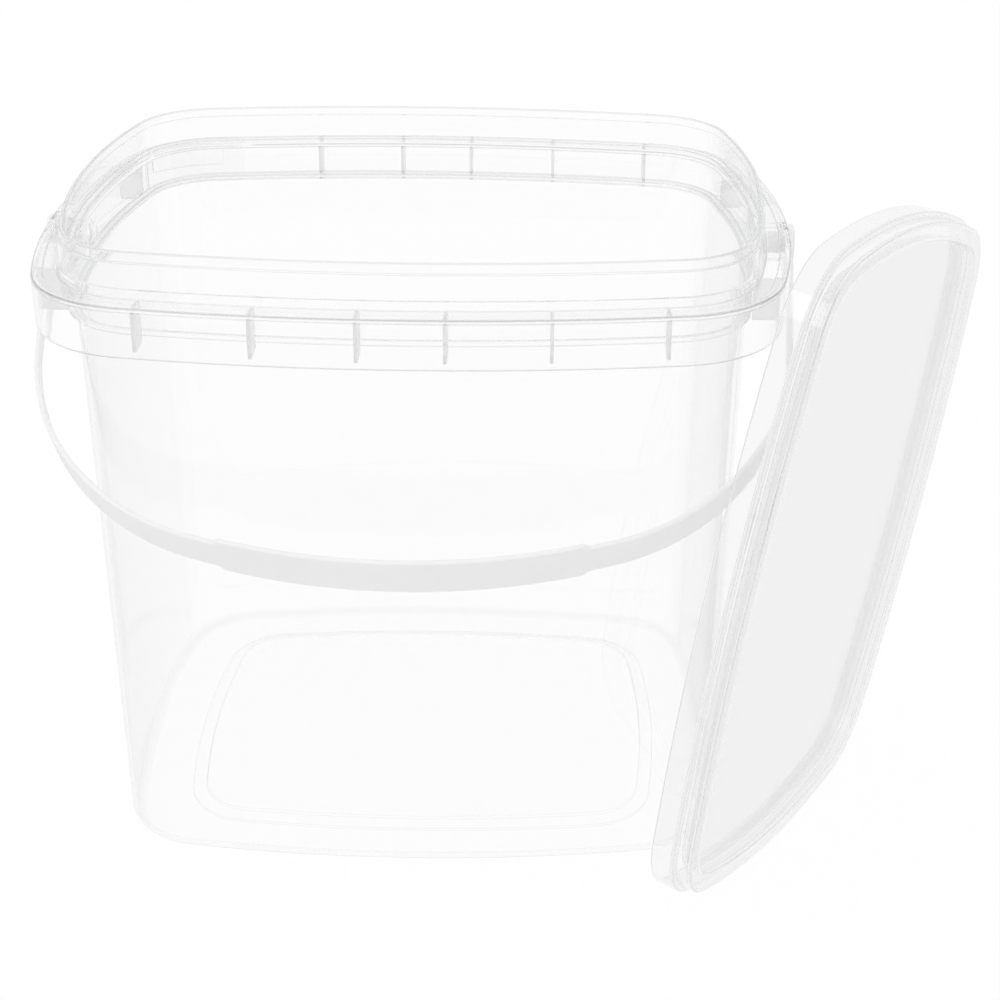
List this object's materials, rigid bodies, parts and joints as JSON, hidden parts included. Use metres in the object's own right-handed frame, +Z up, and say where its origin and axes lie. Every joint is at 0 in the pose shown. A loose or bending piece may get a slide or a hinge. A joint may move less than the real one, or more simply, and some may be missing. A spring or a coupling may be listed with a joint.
{
  "type": "rectangular food bucket with lid",
  "caption": "Clear rectangular tamper-evident food bucket with a swinging bail handle, a loose lid standing beside it and a tear tab in the rim.",
  "frame": {"origin": "middle of the bucket's flat foot, on the surface it stands on", "axes": "+Z up out of the mouth, +X along the bucket's long side towards the lid, between the handle's pivots; the handle hangs on the -Y side"},
  "size_m": [0.2594, 0.1874, 0.1868],
  "materials": {
    "clear_plastic": "clear polypropylene, glossy from the mould",
    "lid_plastic": "clear polypropylene with a slight haze",
    "milky_plastic": "natural milky polypropylene, satin gloss"
  },
  "bodies": {
    "bucket": {"bucket": "clear_plastic"},
    "tear_tab": {"tear_tab": "clear_plastic"},
    "handle": {"handle": "milky_plastic"},
    "lid": {"lid": "lid_plastic"}
  },
  "joints": [
    {"name": "handle_swing", "type": "hinge", "parent": "bucket", "child": "handle", "pos_m": [0, 0, 0.16], "axis": [-1, 0, 0], "range_deg": [-6, 255]},
    {"name": "lid_slide", "type": "slide", "parent": "bucket", "child": "lid", "axis": [0.8541, -0.5201, 0], "range_m": [0, 0.2]},
    {"name": "tab_tear", "type": "slide", "parent": "bucket", "child": "tear_tab", "axis": [-0.6, 0.8, 0], "range_m": [0, 0.03]}
  ]
}
